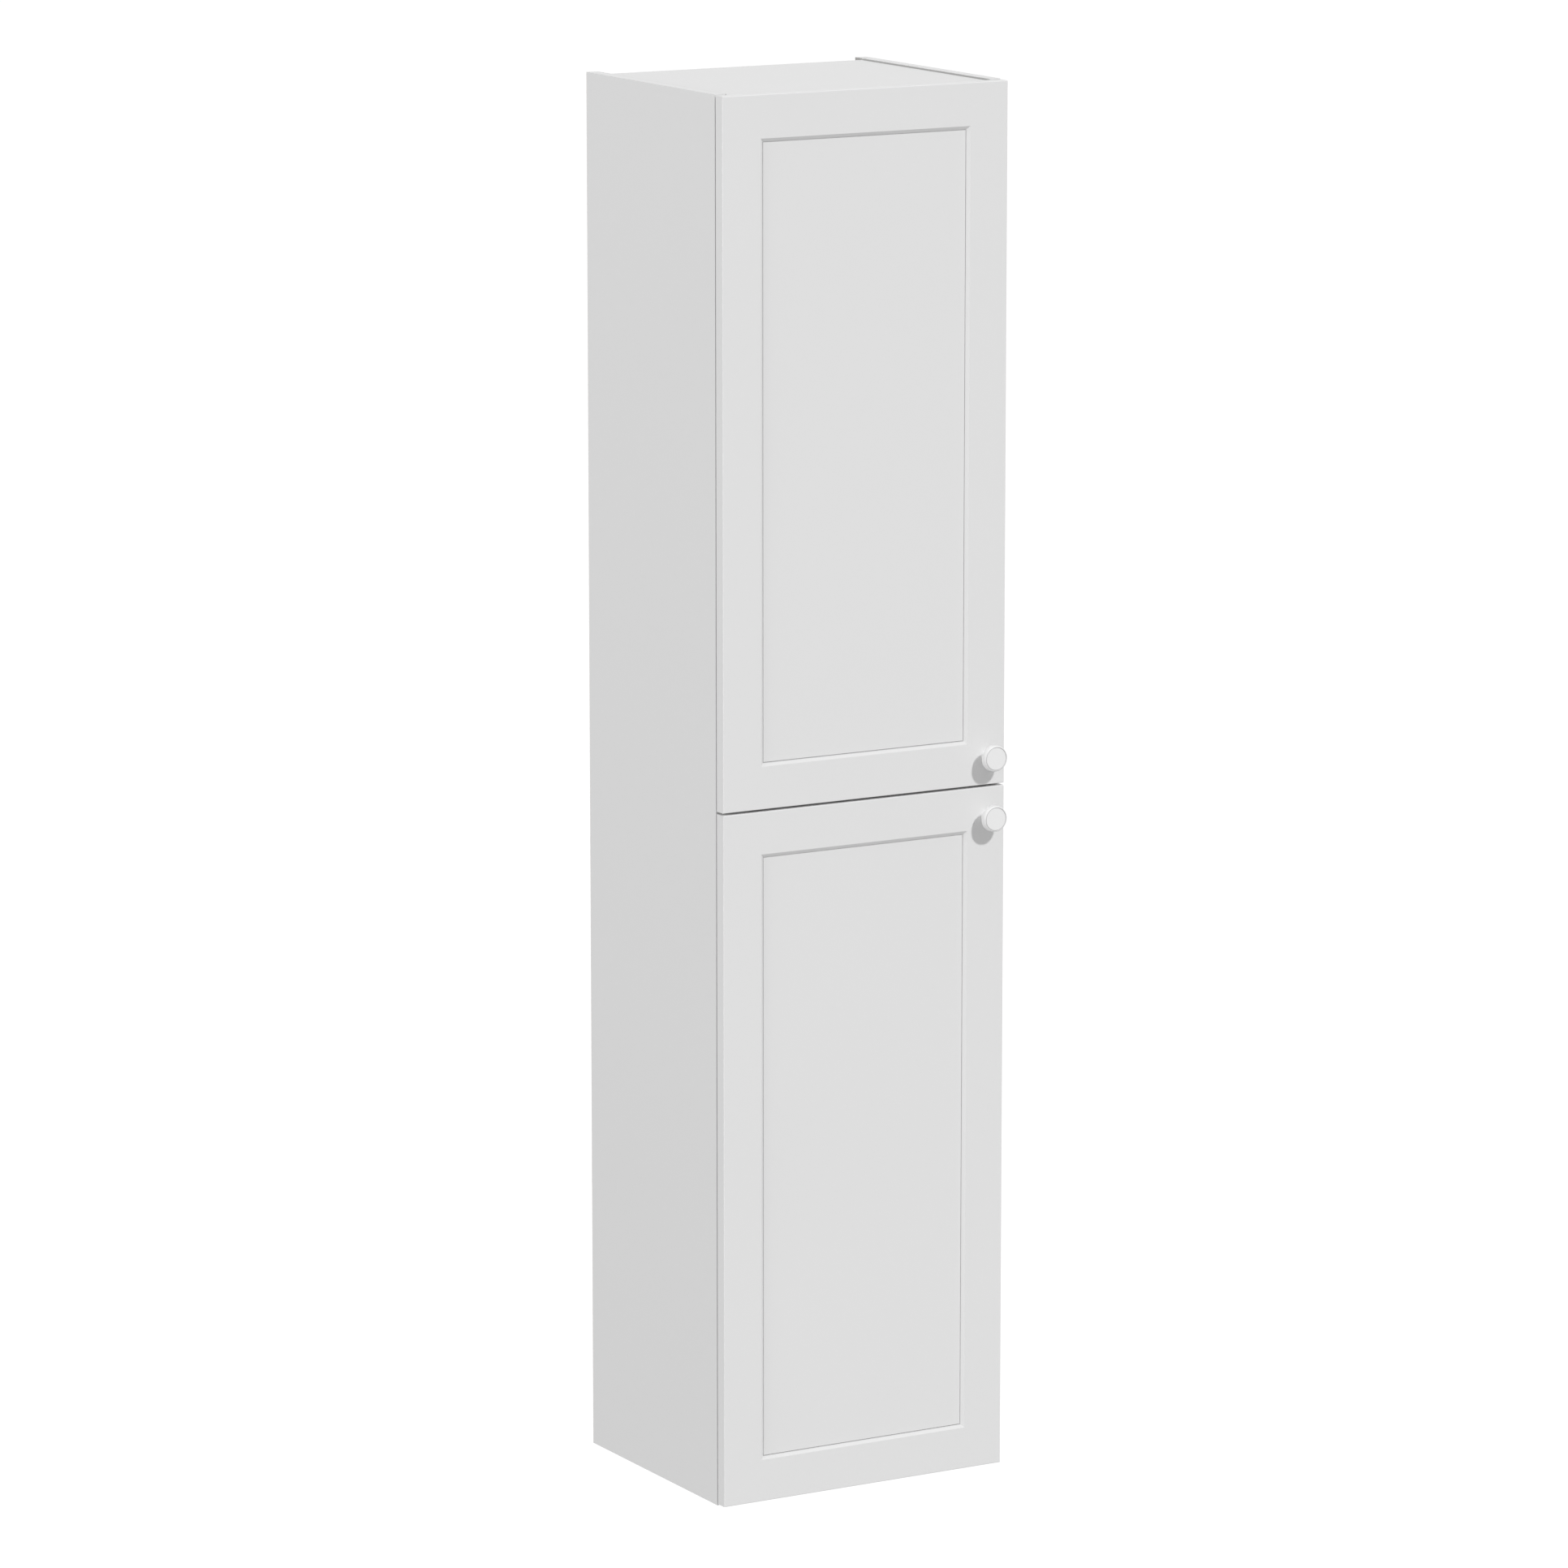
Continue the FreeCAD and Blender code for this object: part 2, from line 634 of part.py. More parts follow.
def all_nodes():
    """Every piece of the cabinet by its name."""
    nodes = {
        "side_panel_left": side_panel(-1),
        "side_panel_right": side_panel(1),
        "back_panel": back_panel(),
        "rear_rail": rear_rail(),
        "shelf_pins": shelf_pins(),
        "hanger_adjusting_screws": adjusting_screws(),
    }
    for name, underside in board_undersides.items():
        nodes[name] = fixed_board(underside)
    for number, underside in enumerate(shelf_undersides(), 1):
        nodes["loose_shelf_%d" % number] = loose_shelf(underside)
    for word, side in (("left", -1), ("right", 1)):
        nodes["hanger_" + word] = hanger(side)
        nodes["hanger_hook_" + word] = hanger_hook(side)
        nodes["hanger_cover_" + word] = hanger_cover(side)
        nodes["wall_plate_" + word] = wall_plate(side)
    for door_name in door_undersides:
        nodes[door_name + "_door_panel"] = door_panel(door_name)
        nodes[door_name + "_door_knob"] = knob(door_name)
        nodes[door_name + "_door_knob_screw"] = knob_screw(door_name)
        nodes[door_name + "_door_pads"] = bumper_pads(door_name)
        for place, height in zip(("bottom", "top"), hinge_heights(door_name)):
            hinge = "%s_door_%s_hinge_" % (door_name, place)
            nodes[hinge + "plate"] = at_hinge(mounting_plate(), height)
            nodes[hinge + "arm"] = at_hinge(arm(), height)
            nodes[hinge + "cup"] = at_hinge(cup(), height)
            nodes[hinge + "outer_link"] = at_hinge(outer_link(), height)
            nodes[hinge + "inner_link"] = at_hinge(inner_link(), height)
    return nodes


os.makedirs("parts", exist_ok=True)
for node_name, node_shape in all_nodes().items():
    node_shape.exportStep("parts/%s.step" % node_name)
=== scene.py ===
"""Looks of the tall wall-hung bathroom cabinet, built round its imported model.

Sizes of the cabinet are written in millimetres and become metres where a mesh or a material takes them. The
defaults of the shader groups and the places of the floor, the lamps and the camera are in metres. X runs to
the right as seen from the front, the doors face -Y, and Z is up. The origin is the centre of the screws of
the wall plates, on the wall.
"""
import math

import bmesh
import bpy
import numpy as np
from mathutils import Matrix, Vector


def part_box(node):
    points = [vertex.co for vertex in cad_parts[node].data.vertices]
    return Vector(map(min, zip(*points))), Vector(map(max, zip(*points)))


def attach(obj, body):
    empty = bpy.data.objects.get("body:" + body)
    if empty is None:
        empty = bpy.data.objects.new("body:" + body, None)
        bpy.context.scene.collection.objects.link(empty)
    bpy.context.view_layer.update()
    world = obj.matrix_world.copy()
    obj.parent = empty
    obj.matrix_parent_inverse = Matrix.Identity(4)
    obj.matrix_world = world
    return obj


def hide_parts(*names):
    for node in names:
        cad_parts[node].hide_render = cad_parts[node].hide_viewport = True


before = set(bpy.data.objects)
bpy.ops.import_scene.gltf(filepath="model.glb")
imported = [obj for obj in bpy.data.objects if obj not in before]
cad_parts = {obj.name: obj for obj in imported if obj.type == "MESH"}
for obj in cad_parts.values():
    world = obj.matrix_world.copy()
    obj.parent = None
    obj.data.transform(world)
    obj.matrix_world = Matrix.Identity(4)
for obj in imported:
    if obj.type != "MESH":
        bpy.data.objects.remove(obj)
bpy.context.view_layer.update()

MM = 0.001
DOORS = ("upper", "lower")
HINGES = ("bottom", "top")

# ---------------------------------------------------------------- sizes of the details, in millimetres

# Recess of a door: the frame round it, its sloping sides and the groove at their foot
FRAME_WIDTH = 53.0
BEVEL_WIDTH = 4.2
GROOVE_WIDTH = 0.8
RECESS_REACH = 6.0  # how far back from the front of a door its masks reach

# Knob: its radii and roundings, its heights over the front of the door, and how far its rounded rim runs in
# from the side of the head and drops from the face
NECK_RADIUS = 6.7
NECK_FOOT_ROUND = 0.4
THROAT_ROUND = 1.0
HEAD_RADIUS = 16.5
HEAD_BACK = 16.8
HEAD_BACK_ROUND = 1.0
RIM_RUN = 1.6
RIM_DROP = 3.4
KNOB_FACE = 25.0

# Ring turned into the face of a knob: its radius, half its width, its depth, and how far from its middle the
# face goes on flat
KNOB_RING = 14.3
RING_HALF = 0.46
RING_DEPTH = 0.9
RING_EDGE = 0.5

# Masks of the painted shade on a knob: half the width of the grey line in its ring, how far back from the
# face the line reaches, and the radii at which the rim's mask is 0 and 1
GREY_LINE_HALF = 0.6
GREY_LINE_REACH = 1.5
RIM_MASK_START = 14.9
RIM_MASK_END = 15.6

# Clear bumper: a low foot under a dome
BUMPER_RADIUS = 4.0
BUMPER_ROUND = 0.4
DOME_RADIUS = 3.8
DOME_FOOT = 0.35
DOME_RISE = 1.35

# Screws with cross heads: radius and rise of the head, radius and length of the shank
KNOB_SCREW = (4.0, 2.2, 2.0, 25.0)
PLATE_SCREW = (4.2, 1.8, 2.95, 1.9)
FRONT_ARM_SCREW = (2.7, 1.2, 1.5, 0.05)
REAR_ARM_SCREW = (3.5, 1.2, 1.5, 0.05)
CUP_SCREW = (3.4, 1.3, 1.75, 1.15)
HANGER_SCREW = (3.4, 1.6, 1.6, 0.05)

# Places of the screws: in from the face of a side panel, back from the front of the carcass or from the back
# of a door, and up or down from the middle of a hinge; those of the hangers are on the Y and Z axes
PLATE_FACE_IN = 2.0
PLATE_SCREW_BACK = 37.0
PLATE_SCREW_STEP = 16.0
ARM_FACE_IN = 9.5
FRONT_ARM_SCREW_BACK = 37.0
REAR_ARM_SCREW_BACK = 55.0
CUP_FACE_BACK = 1.2
CUP_SCREW_IN = 15.5
CUP_SCREW_STEP = 22.5
HANGER_FACE_IN = 2.0
HANGER_SCREW_Y = -8.5
HANGER_SCREW_HEIGHTS = (-14.0, 2.0, 38.0)

# Cover of a hanger: half its width and height, its corners, its thickness and its softened edge
COVER = (23.0, 12.0, 4.0, 1.5, 0.7)

# Layers in the materials of the boards
RAW_DEPTH = 0.15  # how far in from a cut edge the raw chips start
REAR_DEPTH = 0.1  # how far in from the rear of the thin back its brown starts
BAND = 0.8  # edge band at the front of a board
GLUE_HALF = 0.06  # half the width of the glue line behind the band
CORNER_DARK_REACH = 2.4  # from a corner on top to the end of the dark line in it
PAST_THE_WALL = 1.0  # on the Y axis
PAST_THE_TOP = 2000.0  # on the Z axis

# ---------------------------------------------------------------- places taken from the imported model


def centre(node):
    """Middle of a node's box, in millimetres."""
    low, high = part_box(node)
    return (np.array(low) + np.array(high)) / 2 / MM


def low_corner(node):
    """Lowest corner of a node's box, in millimetres."""
    return np.array(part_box(node)[0]) / MM


def high_corner(node):
    """Highest corner of a node's box, in millimetres."""
    return np.array(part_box(node)[1]) / MM


side_inner = -high_corner("side_panel_left")[0]
carcass_front = low_corner("side_panel_left")[1]
carcass_foot = low_corner("side_panel_left")[2]
door_back = high_corner("upper_door_panel")[1]
door_front = low_corner("upper_door_panel")[1]
back_front = low_corner("back_panel")[1]
back_rear = high_corner("back_panel")[1]
top_face = high_corner("top_panel")[2]
rail_top = high_corner("rear_rail")[2]
upper_low, upper_high = low_corner("upper_door_panel"), high_corner("upper_door_panel")
door_half = (upper_high - upper_low) / 2
mirror_z = (upper_low[2] + high_corner("lower_door_panel")[2]) / 2
knob_axis = centre("upper_door_knob")

DOOR_RECESS = {
    "Foot_X": door_half[0] - FRAME_WIDTH - BEVEL_WIDTH,
    "Foot_Z": door_half[2] - FRAME_WIDTH - BEVEL_WIDTH,
    "Mirror_Z": mirror_z,
    "Middle_Z": upper_low[2] + door_half[2] - mirror_z,
    "Run": BEVEL_WIDTH,
    "Groove": GROOVE_WIDTH,
    "Rear": door_front + RECESS_REACH,
}
KNOB_MASKS = {
    "Axis_X": knob_axis[0],
    "Axis_Z": knob_axis[2] - mirror_z,
    "Mirror_Z": mirror_z,
    "Ring_Radius": KNOB_RING,
    "Half": GREY_LINE_HALF,
    "Face": RIM_MASK_START,
    "Side": RIM_MASK_END,
    "Rear": door_front - KNOB_FACE + GREY_LINE_REACH,
}
TOP_CORNERS = {"Corner_X": side_inner, "Corner_Z": top_face, "Reach": CORNER_DARK_REACH}

# ---------------------------------------------------------------- surfaces worked out on grids

MERGE_DISTANCE = 1e-6  # in metres
SHARP_ANGLE = 35  # in degrees


def oval(centre_r, centre_h, half_r, half_h, start, end, steps):
    """Points of an elliptical arc in a profile: centre + (half_r cos a, half_h sin a), with a running evenly
    between two angles in degrees."""
    a = np.radians(np.linspace(start, end, steps + 1))
    return np.column_stack([centre_r + half_r * np.cos(a), centre_h + half_h * np.sin(a)])


def arc(centre_r, centre_h, radius, start, end, steps):
    """Points of a circular arc in a profile: the oval with both halves the same."""
    return oval(centre_r, centre_h, radius, radius, start, end, steps)


def profile(*runs):
    """One profile from points and arcs, as rows of (radius, height)."""
    return np.vstack([np.atleast_2d(run) for run in runs])


def turned(outline, steps=96):
    """Surface of revolution: row i, column j is (r_i cos a_j, r_i sin a_j, h_i), with
    a_j = 2 pi j / steps."""
    a = np.linspace(0, 2 * np.pi, steps, endpoint=False)
    r, h = outline[:, 0, None], outline[:, 1, None]
    return np.stack([r * np.cos(a), r * np.sin(a), np.broadcast_to(h, (len(outline), steps))], -1)


def smooth(t):
    """S of t: t clipped to 0...1, then 3 t^2 - 2 t^3."""
    t = np.clip(t, 0, 1)
    return t * t * (3 - 2 * t)


def cross_head(radius, rise, shank_radius, shank, slot=0.64, width=0.15, depth=0.75, steps=72):
    """Screw with a pan head and a cross recess, on a polar grid.

    The head's height at a distance r from its axis is rise (1 - crown (r/R)^4), and a cross is pressed into
    it. With u = the smaller and v = the larger of |x| and |y|, the cross is
    depth S((width R - u)/wall + 1/2) S((slot R - v)/run_out) deep, where S is smooth and wall and run_out
    are 0.06 and 0.2 of R. The rows then run down the rim, under the head and along the shank to a closed
    end.
    """
    crown, wall, run_out = 0.35, 0.06 * radius, 0.2 * radius
    in_cross, to_rim = np.linspace(0, 0.72, 19), np.linspace(0.76, 1.0, 6)
    a = np.linspace(0, 2 * np.pi, steps, endpoint=False)
    r = np.concatenate([in_cross, to_rim])[:, None] * radius
    x, y = r * np.cos(a), r * np.sin(a)
    u, v = np.minimum(abs(x), abs(y)), np.maximum(abs(x), abs(y))
    pressed = depth * smooth((width * radius - u) / wall + 0.5) * smooth((slot * radius - v) / run_out)
    top = np.stack([x, y, rise * (1 - crown * (r / radius) ** 4) - pressed], -1)
    rest = profile((radius, 0.0), (shank_radius, 0.0), (shank_radius, -shank), (0.0, -shank))
    return np.concatenate([top, turned(rest, steps)])


def cushioned_plate(half_width, half_height, corner, thickness, edge, steps=8):
    """Flat plate with round corners and softened front edges.

    A ring is the rounded rectangle moved inwards by d: corner centres (+-(W - c), +-(H - c)) plus
    (c - d)(cos a, sin a). Its lift runs round a quarter circle of the edge radius e: d = e (1 - cos b),
    h = T - e + e sin b. One more ring lies 1 mm further in, and the front and back close in the middle.
    """
    quarter = np.radians(np.linspace(0, 90, steps + 1))
    angles = np.concatenate([quarter + k * np.pi / 2 for k in range(4)])
    signs = np.repeat(np.array([(1, 1), (-1, 1), (-1, -1), (1, -1)]), steps + 1, axis=0)
    middles = signs * (half_width - corner, half_height - corner)
    direction = np.column_stack([np.cos(angles), np.sin(angles)])
    b = np.radians(np.linspace(0, 90, 6))
    insets = np.concatenate([[0.0], edge * (1 - np.cos(b)), [edge + 1.0]])
    lifts = np.concatenate([[0.0], thickness - edge + edge * np.sin(b), [thickness]])
    rings = middles[None] + (corner - insets)[:, None, None] * direction[None]
    points = np.concatenate([rings, np.broadcast_to(lifts[:, None, None], rings.shape[:2] + (1,))], -1)
    front = np.zeros_like(points[:1]) + (0, 0, thickness)
    back = np.zeros_like(points[:1])
    return np.concatenate([back, points, front])


def stood(points, place, out):
    """Grid moved to a place, with its height running along out, one of the axes as a unit vector."""
    out = np.array(out, float)
    first = np.array([0.0, 0.0, 1.0]) if abs(out[2]) < 0.5 else np.array([1.0, 0.0, 0.0])
    second = np.cross(out, first)
    return np.array(place, float) + points @ np.array([first, second, out])


def screws(size, places, out):
    """Grids of equal screws, with their heads at the places and facing along out."""
    return [stood(cross_head(*size), place, out) for place in places]


def quads_round(rows, columns):
    """Faces of a grid whose columns run round: (i, j), (i, j+1), (i+1, j+1), (i+1, j), with j+1 taken modulo
    the number of columns."""
    i, j = np.meshgrid(np.arange(rows - 1), np.arange(columns), indexing="ij")
    this, following = i * columns + j, i * columns + (j + 1) % columns
    return np.stack([this, following, following + columns, this + columns], -1).reshape(-1, 4)


def piece(name, grids, body, material, stands_for=()):
    """One object from closed grids: points merged where they meet, faces outwards, sharp past 35 degrees."""
    points, faces, count = [], [], 0
    for grid in grids:
        rows, columns = grid.shape[:2]
        points.append(grid.reshape(-1, 3) * MM)
        faces.append(quads_round(rows, columns) + count)
        count += rows * columns
    mesh = bpy.data.meshes.new(name)
    mesh.from_pydata(np.concatenate(points).tolist(), [], np.concatenate(faces).tolist())
    work = bmesh.new()
    work.from_mesh(mesh)
    bmesh.ops.remove_doubles(work, verts=work.verts, dist=MERGE_DISTANCE)
    bmesh.ops.recalc_face_normals(work, faces=work.faces)
    work.to_mesh(mesh)
    work.free()
    mesh.polygons.foreach_set("use_smooth", np.ones(len(mesh.polygons), bool))
    mesh.set_sharp_from_angle(angle=math.radians(SHARP_ANGLE))
    mesh.materials.append(material)
    made = bpy.data.objects.new(name, mesh)
    bpy.context.scene.collection.objects.link(made)
    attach(made, body)
    if stands_for:
        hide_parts(*stands_for)


# ---------------------------------------------------------------- shader nodes and groups

FLOAT = "NodeSocketFloat"
VECTOR = "NodeSocketVector"
COLOUR = "NodeSocketColor"


def node(tree, kind, settings=None, **inputs):
    """Shader node with its settings and inputs. An input is a value or another node's output, and an
    underscore in its name stands for a space."""
    made = tree.nodes.new(kind)
    for key, value in (settings or {}).items():
        setattr(made, key, value)
    for name, value in inputs.items():
        fill(tree, made.inputs[name.replace("_", " ")], value)
    return made


def fill(tree, socket, value):
    """Socket given a value or another node's output."""
    if isinstance(value, bpy.types.NodeSocket):
        tree.links.new(value, socket)
    else:
        socket.default_value = value


def math_node(tree, operation, first, second=None, third=None):
    """Result of a Math node."""
    made = tree.nodes.new("ShaderNodeMath")
    made.operation = operation
    for socket, value in zip(made.inputs, (first, second, third)):
        if value is not None:
            fill(tree, socket, value)
    return made.outputs[0]


def clamped(tree, value):
    """Value held between 0 and 1."""
    return node(tree, "ShaderNodeClamp", Value=value).outputs[0]


def length(tree, first, second):
    """Length of a vector of two components: the root of the sum of their squares."""
    squares = math_node(tree, "MULTIPLY_ADD", first, first, math_node(tree, "MULTIPLY", second, second))
    return math_node(tree, "SQRT", squares)


def axes_of(tree, vector):
    """The three components of a vector."""
    return node(tree, "ShaderNodeSeparateXYZ", Vector=vector).outputs


def noise(tree, place, scale, detail, roughness=0.5):
    """Value of a noise, about one half in the mean."""
    made = node(tree, "ShaderNodeTexNoise", Vector=place, Scale=scale, Detail=detail, Roughness=roughness)
    return made.outputs[0]


def two_tone(tree, share, dark, light, start=0.0, end=1.0):
    """Colour that runs from dark to light as share runs from start to end."""
    ramp = node(tree, "ShaderNodeValToRGB", Fac=share)
    first, last = ramp.color_ramp.elements
    first.position, first.color = start, (*dark, 1)
    last.position, last.color = end, (*light, 1)
    return ramp.outputs[0]


def group_tree(name, inputs, outputs):
    """Empty shader group with named inputs (name, kind, default) and outputs (name, kind)."""
    tree = bpy.data.node_groups.new(name, "ShaderNodeTree")
    for label, kind, default in inputs:
        socket = tree.interface.new_socket(name=label, in_out="INPUT", socket_type=kind)
        if default is not None:
            socket.default_value = default
    for label, kind in outputs:
        tree.interface.new_socket(name=label, in_out="OUTPUT", socket_type=kind)
    return tree, tree.nodes.new("NodeGroupInput").outputs, tree.nodes.new("NodeGroupOutput").inputs


def paint_skin_group():
    """Skin of a sprayed or pressed finish: broad drift of tone, orange peel and fine grain."""
    grain_in_sheen = 0.4
    tree, given, result = group_tree(
        "paint_skin",
        [("Place", VECTOR, None), ("Peel Scale", FLOAT, 300.0), ("Grain Scale", FLOAT, 2500.0),
         ("Peel", FLOAT, 0.7), ("Drift", FLOAT, 0.02)],
        [("Tone", FLOAT), ("Height", FLOAT), ("Sheen Mask", FLOAT)])
    broad = noise(tree, given["Place"], scale=3.0, detail=3.0)
    peel = noise(tree, given["Place"], scale=given["Peel Scale"], detail=1.5)
    grain = noise(tree, given["Place"], scale=given["Grain Scale"], detail=1.0)
    shift = math_node(tree, "MULTIPLY", math_node(tree, "SUBTRACT", broad, 0.5), given["Drift"])
    tree.links.new(math_node(tree, "ADD", shift, 1.0), result["Tone"])
    rest = math_node(tree, "MULTIPLY", grain, math_node(tree, "SUBTRACT", 1.0, given["Peel"]))
    tree.links.new(math_node(tree, "MULTIPLY_ADD", peel, given["Peel"], rest), result["Height"])
    broad_sheen = math_node(tree, "MULTIPLY", broad, 1.0 - grain_in_sheen)
    tree.links.new(math_node(tree, "MULTIPLY_ADD", grain, grain_in_sheen, broad_sheen), result["Sheen Mask"])
    return tree


def layer_group():
    """Mask of a flat layer on one axis: 1 between two coordinates, and 0 outside them."""
    tree, given, result = group_tree(
        "layer_mask", [("Place", FLOAT, 0.0), ("From", FLOAT, 0.0), ("To", FLOAT, 1.0)], [("Mask", FLOAT)])
    above = math_node(tree, "GREATER_THAN", given["Place"], given["From"])
    below = math_node(tree, "LESS_THAN", given["Place"], given["To"])
    tree.links.new(math_node(tree, "MULTIPLY", above, below), result["Mask"])
    return tree


def recess_group():
    """Masks of the sides of a door's recess.

    d is the larger of |x| - X and ||z - M| - C| - Z: X and Z are half the rectangle at the foot of the
    sides, M is the height that the doors mirror about and C the distance from there to the middle of a door.
    Sides is 1 from d = -Groove to d = Run. Crease is 1 in the groove and falls to 0 at a quarter of Run.
    Behind y = Rear both are 0.
    """
    tree, given, result = group_tree(
        "recess_sides",
        [("Place", VECTOR, None), ("Foot X", FLOAT, 0.1), ("Foot Z", FLOAT, 0.3), ("Mirror Z", FLOAT, 0.0),
         ("Middle Z", FLOAT, 0.4), ("Run", FLOAT, 0.004), ("Groove", FLOAT, 0.001), ("Rear", FLOAT, -0.335)],
        [("Sides", FLOAT), ("Crease", FLOAT)])
    axes = axes_of(tree, given["Place"])
    across = math_node(tree, "SUBTRACT", math_node(tree, "ABSOLUTE", axes[0]), given["Foot X"])
    folded = math_node(tree, "ABSOLUTE", math_node(tree, "SUBTRACT", axes[2], given["Mirror Z"]))
    from_middle = math_node(tree, "ABSOLUTE", math_node(tree, "SUBTRACT", folded, given["Middle Z"]))
    distance = math_node(tree, "MAXIMUM", across, math_node(tree, "SUBTRACT", from_middle, given["Foot Z"]))
    past_groove = math_node(tree, "GREATER_THAN", math_node(tree, "ADD", distance, given["Groove"]), 0.0)
    in_front = math_node(tree, "LESS_THAN", axes[1], given["Rear"])
    sides = math_node(tree, "MULTIPLY", past_groove, math_node(tree, "LESS_THAN", distance, given["Run"]))
    sides = math_node(tree, "MULTIPLY", sides, in_front)
    share = math_node(tree, "DIVIDE", distance, math_node(tree, "MULTIPLY", given["Run"], 0.25))
    falling = clamped(tree, math_node(tree, "SUBTRACT", 1.0, share))
    tree.links.new(sides, result["Sides"])
    tree.links.new(math_node(tree, "MULTIPLY", sides, falling), result["Crease"])
    return tree


def corner_group():
    """Dark line where the top panel meets a side: with d the distance from the line |x| = X, z = Z, the mask
    is 1 up to half of Reach and falls to 0 at Reach."""
    tree, given, result = group_tree(
        "corner_dark_line",
        [("Place", VECTOR, None), ("Corner X", FLOAT, 0.18), ("Corner Z", FLOAT, 0.07),
         ("Reach", FLOAT, 0.002)],
        [("Mask", FLOAT)])
    axes = axes_of(tree, given["Place"])
    across = math_node(tree, "SUBTRACT", math_node(tree, "ABSOLUTE", axes[0]), given["Corner X"])
    up = math_node(tree, "SUBTRACT", axes[2], given["Corner Z"])
    share = math_node(tree, "DIVIDE", length(tree, across, up), given["Reach"])
    tree.links.new(clamped(tree, math_node(tree, "MULTIPLY_ADD", share, -2.0, 2.0)), result["Mask"])
    return tree


def knob_group():
    """Masks of the face of a knob, about its axis: with r the distance from the line x = X, |z - M| = Z,
    Ring is 1 on r = Ring Radius and falls to 0 at Half either side, and Rim runs from 0 to 1 as r passes
    from Face to Side. Behind y = Rear the ring is 0."""
    tree, given, result = group_tree(
        "knob_face",
        [("Place", VECTOR, None), ("Axis X", FLOAT, 0.17), ("Axis Z", FLOAT, 0.04), ("Mirror Z", FLOAT, 0.0),
         ("Ring Radius", FLOAT, 0.014), ("Half", FLOAT, 0.0005), ("Face", FLOAT, 0.0148),
         ("Side", FLOAT, 0.0156), ("Rear", FLOAT, -0.36)],
        [("Ring", FLOAT), ("Rim", FLOAT)])
    axes = axes_of(tree, given["Place"])
    across = math_node(tree, "SUBTRACT", axes[0], given["Axis X"])
    folded = math_node(tree, "ABSOLUTE", math_node(tree, "SUBTRACT", axes[2], given["Mirror Z"]))
    radius = length(tree, across, math_node(tree, "SUBTRACT", folded, given["Axis Z"]))
    off_ring = math_node(tree, "ABSOLUTE", math_node(tree, "SUBTRACT", radius, given["Ring Radius"]))
    share = math_node(tree, "DIVIDE", off_ring, given["Half"])
    ring = clamped(tree, math_node(tree, "SUBTRACT", 1.0, share))
    in_front = math_node(tree, "LESS_THAN", axes[1], given["Rear"])
    tree.links.new(math_node(tree, "MULTIPLY", ring, in_front), result["Ring"])
    run = math_node(tree, "SUBTRACT", given["Side"], given["Face"])
    past = math_node(tree, "DIVIDE", math_node(tree, "SUBTRACT", radius, given["Face"]), run)
    tree.links.new(clamped(tree, past), result["Rim"])
    return tree


def chip_group():
    """Pressed wood chips: flakes of many tans, drawn out along Z."""
    flake_stretch = (1.0, 1.0, 0.35)
    dark_chip, light_chip = (0.30, 0.19, 0.10), (0.62, 0.46, 0.28)
    tree, given, result = group_tree(
        "wood_chips", [("Place", VECTOR, None), ("Scale", FLOAT, 420.0)],
        [("Color", COLOUR), ("Height", FLOAT)])
    stretched = node(tree, "ShaderNodeMapping", Vector=given["Place"], Scale=flake_stretch).outputs[0]
    flakes = node(tree, "ShaderNodeTexVoronoi", Vector=stretched, Scale=given["Scale"], Randomness=1.0)
    shade = node(tree, "ShaderNodeSeparateColor", Color=flakes.outputs["Color"]).outputs[0]
    tree.links.new(two_tone(tree, shade, dark_chip, light_chip), result["Color"])
    tree.links.new(flakes.outputs["Distance"], result["Height"])
    return tree


def plating_group():
    """Plated steel: drawing lines along Y and a cloudy change of tone."""
    line_stretch = (1.0, 0.08, 1.0)
    lowest_tone, tone_spread = 0.92, 0.16
    dull_of_clouds, dull_of_lines = 0.12, 0.08
    tree, given, result = group_tree(
        "plating", [("Place", VECTOR, None), ("Line Scale", FLOAT, 900.0)],
        [("Tone", FLOAT), ("Height", FLOAT), ("Dull", FLOAT)])
    along = node(tree, "ShaderNodeMapping", Vector=given["Place"], Scale=line_stretch).outputs[0]
    lines = noise(tree, along, scale=given["Line Scale"], detail=2.0)
    cloud = noise(tree, given["Place"], scale=60.0, detail=4.0)
    tree.links.new(math_node(tree, "MULTIPLY_ADD", cloud, tone_spread, lowest_tone), result["Tone"])
    tree.links.new(lines, result["Height"])
    dull_lines = math_node(tree, "MULTIPLY", lines, dull_of_lines)
    tree.links.new(math_node(tree, "MULTIPLY_ADD", cloud, dull_of_clouds, dull_lines), result["Dull"])
    return tree


PAINT_SKIN = paint_skin_group()
LAYER_MASK = layer_group()
RECESS_SIDES = recess_group()
CORNER_DARK_LINE = corner_group()
KNOB_FACE_MASKS = knob_group()
WOOD_CHIPS = chip_group()
PLATING = plating_group()

# ---------------------------------------------------------------- materials

WHITE = (0.80, 0.80, 0.80)
ENAMEL = (0.88, 0.88, 0.88)
COVER_WHITE = (0.80, 0.80, 0.79)
CORNER_DARK = (0.34, 0.34, 0.33)
GLUE = (0.36, 0.34, 0.31)
DARK_FIBRE = (0.20, 0.115, 0.06)
LIGHT_FIBRE = (0.36, 0.23, 0.13)
NICKEL = (0.66, 0.64, 0.60)
ZINC = (0.60, 0.62, 0.65)
CLEAR = (0.86, 0.87, 0.87)
PAINT_SPREAD = 0.12  # the most that the skin's sheen mask adds to the roughness of paint
BOARD_SPREAD = 0.14  # and to that of a board


def shader_group(tree, group, **inputs):
    """A group placed in a material, with its own values."""
    return node(tree, "ShaderNodeGroup", {"node_tree": group}, **inputs).outputs


def in_metres(sizes):
    """Sockets of a group with their values turned from millimetres to metres."""
    return {key: value * MM for key, value in sizes.items()}


